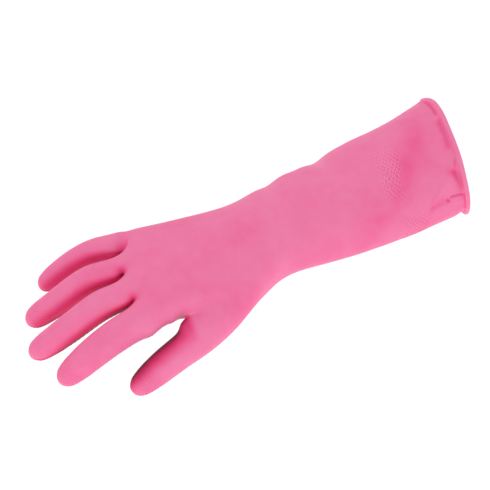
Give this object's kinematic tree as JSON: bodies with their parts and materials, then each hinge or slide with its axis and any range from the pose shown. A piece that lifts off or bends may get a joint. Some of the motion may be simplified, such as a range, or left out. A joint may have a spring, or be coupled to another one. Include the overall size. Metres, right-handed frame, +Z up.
{
  "type": "household rubber glove",
  "caption": "Long-cuffed household glove for the right hand, in flock-lined pink latex, lying palm down with curled fingers and a rolled cuff edge.",
  "frame": {"origin": "middle of the glove's box, on the surface it lies on", "axes": "+X along the arm towards the cuff, +Y towards the little finger's side, +Z up from the palm to the back of the hand"},
  "size_m": [0.3416, 0.1294, 0.0594],
  "materials": {
    "latex": "satin pink latex",
    "latex_bands": "satin pink latex, flexing",
    "cuff_bead": "satin pink latex, rolled edge",
    "flock_lining": "matt cotton flock"
  },
  "bodies": {
    "gauntlet": {"gauntlet_skin": "latex", "gauntlet_lining": "flock_lining", "cuff_bead": "cuff_bead"},
    "wrist_band": {"wrist_band_skin": "latex", "wrist_band_lining": "flock_lining", "wrist_deviation_band": "latex_bands"},
    "hand": {"hand_skin": "latex", "hand_lining": "flock_lining", "wrist_flexion_band": "latex_bands"},
    "index_proximal": {"index_proximal_skin": "latex", "index_proximal_lining": "flock_lining", "index_knuckle_band": "latex_bands"},
    "index_middle": {"index_middle_skin": "latex", "index_middle_lining": "flock_lining", "index_middle_band": "latex_bands"},
    "index_tip": {"index_tip_skin": "latex", "index_tip_lining": "flock_lining", "index_end_band": "latex_bands"},
    "middle_proximal": {"middle_proximal_skin": "latex", "middle_proximal_lining": "flock_lining", "middle_knuckle_band": "latex_bands"},
    "middle_middle": {"middle_middle_skin": "latex", "middle_middle_lining": "flock_lining", "middle_middle_band": "latex_bands"},
    "middle_tip": {"middle_tip_skin": "latex", "middle_tip_lining": "flock_lining", "middle_end_band": "latex_bands"},
    "ring_proximal": {"ring_proximal_skin": "latex", "ring_proximal_lining": "flock_lining", "ring_knuckle_band": "latex_bands"},
    "ring_middle": {"ring_middle_skin": "latex", "ring_middle_lining": "flock_lining", "ring_middle_band": "latex_bands"},
    "ring_tip": {"ring_tip_skin": "latex", "ring_tip_lining": "flock_lining", "ring_end_band": "latex_bands"},
    "little_proximal": {"little_proximal_skin": "latex", "little_proximal_lining": "flock_lining", "little_knuckle_band": "latex_bands"},
    "little_middle": {"little_middle_skin": "latex", "little_middle_lining": "flock_lining", "little_middle_band": "latex_bands"},
    "little_tip": {"little_tip_skin": "latex", "little_tip_lining": "flock_lining", "little_end_band": "latex_bands"},
    "thumb_proximal": {"thumb_proximal_skin": "latex", "thumb_proximal_lining": "flock_lining", "thumb_knuckle_band": "latex_bands"},
    "thumb_tip": {"thumb_tip_skin": "latex", "thumb_tip_lining": "flock_lining", "thumb_end_band": "latex_bands"}
  },
  "joints": [
    {"name": "wrist_deviation_bend", "type": "hinge", "parent": "gauntlet", "child": "wrist_band", "pos_m": [0.0379, 0.0059, 0.025], "axis": [0, 0, 1], "range_deg": [-15, 15], "stiffness_Nm_per_rad": 0.6, "deforming": ["wrist_deviation_band"]},
    {"name": "wrist_flexion_bend", "type": "hinge", "parent": "wrist_band", "child": "hand", "pos_m": [0.0019, 0.0029, 0.0265], "axis": [0, -1, 0], "range_deg": [-35, 45], "stiffness_Nm_per_rad": 0.6, "deforming": ["wrist_flexion_band"]},
    {"name": "index_knuckle_bend", "type": "hinge", "parent": "hand", "child": "index_proximal", "pos_m": [-0.1048, -0.0267, 0.0323], "axis": [0.0995, -0.995, 0], "range_deg": [-10, 50], "stiffness_Nm_per_rad": 0.03, "deforming": ["index_knuckle_band"]},
    {"name": "index_middle_bend", "type": "hinge", "parent": "index_proximal", "child": "index_middle", "pos_m": [-0.1241, -0.0307, 0.0298], "axis": [0.0995, -0.995, 0], "range_deg": [0, 60], "stiffness_Nm_per_rad": 0.03, "deforming": ["index_middle_band"]},
    {"name": "index_end_bend", "type": "hinge", "parent": "index_middle", "child": "index_tip", "pos_m": [-0.1398, -0.0315, 0.0208], "axis": [0.0995, -0.995, 0], "range_deg": [0, 36], "stiffness_Nm_per_rad": 0.02, "deforming": ["index_end_band"]},
    {"name": "middle_knuckle_bend", "type": "hinge", "parent": "hand", "child": "middle_proximal", "pos_m": [-0.1053, -0.001, 0.0342], "axis": [0.0813, -0.9967, 0], "range_deg": [-10, 50], "stiffness_Nm_per_rad": 0.03, "deforming": ["middle_knuckle_band"]},
    {"name": "middle_middle_bend", "type": "hinge", "parent": "middle_proximal", "child": "middle_middle", "pos_m": [-0.1251, -0.0057, 0.0318], "axis": [0.0813, -0.9967, 0], "range_deg": [0, 60], "stiffness_Nm_per_rad": 0.03, "deforming": ["middle_middle_band"]},
    {"name": "middle_end_bend", "type": "hinge", "parent": "middle_middle", "child": "middle_tip", "pos_m": [-0.1458, -0.0065, 0.0208], "axis": [0.0813, -0.9967, 0], "range_deg": [0, 36], "stiffness_Nm_per_rad": 0.02, "deforming": ["middle_end_band"]},
    {"name": "ring_knuckle_bend", "type": "hinge", "parent": "hand", "child": "ring_proximal", "pos_m": [-0.1015, 0.0216, 0.0319], "axis": [0.0048, -1, 0], "range_deg": [-10, 50], "stiffness_Nm_per_rad": 0.03, "deforming": ["ring_knuckle_band"]},
    {"name": "ring_middle_bend", "type": "hinge", "parent": "ring_proximal", "child": "ring_middle", "pos_m": [-0.1196, 0.0209, 0.0288], "axis": [0.0048, -1, 0], "range_deg": [0, 60], "stiffness_Nm_per_rad": 0.03, "deforming": ["ring_middle_band"]},
    {"name": "ring_end_bend", "type": "hinge", "parent": "ring_middle", "child": "ring_tip", "pos_m": [-0.1383, 0.0202, 0.0189], "axis": [0.0048, -1, 0], "range_deg": [0, 36], "stiffness_Nm_per_rad": 0.02, "deforming": ["ring_end_band"]},
    {"name": "little_knuckle_bend", "type": "hinge", "parent": "hand", "child": "little_proximal", "pos_m": [-0.0913, 0.0412, 0.0285], "axis": [-0.1276, -0.9918, 0], "range_deg": [-10, 50], "stiffness_Nm_per_rad": 0.03, "deforming": ["little_knuckle_band"]},
    {"name": "little_middle_bend", "type": "hinge", "parent": "little_proximal", "child": "little_middle", "pos_m": [-0.1061, 0.0445, 0.0258], "axis": [-0.1276, -0.9918, 0], "range_deg": [0, 60], "stiffness_Nm_per_rad": 0.03, "deforming": ["little_middle_band"]},
    {"name": "little_end_bend", "type": "hinge", "parent": "little_middle", "child": "little_tip", "pos_m": [-0.1233, 0.0467, 0.0167], "axis": [-0.1276, -0.9918, 0], "range_deg": [0, 36], "stiffness_Nm_per_rad": 0.02, "deforming": ["little_end_band"]},
    {"name": "thumb_knuckle_bend", "type": "hinge", "parent": "hand", "child": "thumb_proximal", "pos_m": [-0.0781, -0.0497, 0.017], "axis": [-0.3103, 0.5704, 0.7605], "range_deg": [-30, 12], "stiffness_Nm_per_rad": 0.03, "deforming": ["thumb_knuckle_band"]},
    {"name": "thumb_end_bend", "type": "hinge", "parent": "thumb_proximal", "child": "thumb_tip", "pos_m": [-0.0971, -0.0534, 0.0124], "axis": [-0.3103, 0.5704, 0.7605], "range_deg": [-50, 0], "stiffness_Nm_per_rad": 0.02, "deforming": ["thumb_end_band"]}
  ],
  "couplings": [
    {"joint": "index_end_bend", "follows": "index_middle_bend", "ratio": 0.6},
    {"joint": "middle_end_bend", "follows": "middle_middle_bend", "ratio": 0.6},
    {"joint": "ring_end_bend", "follows": "ring_middle_bend", "ratio": 0.6},
    {"joint": "little_end_bend", "follows": "little_middle_bend", "ratio": 0.6}
  ]
}
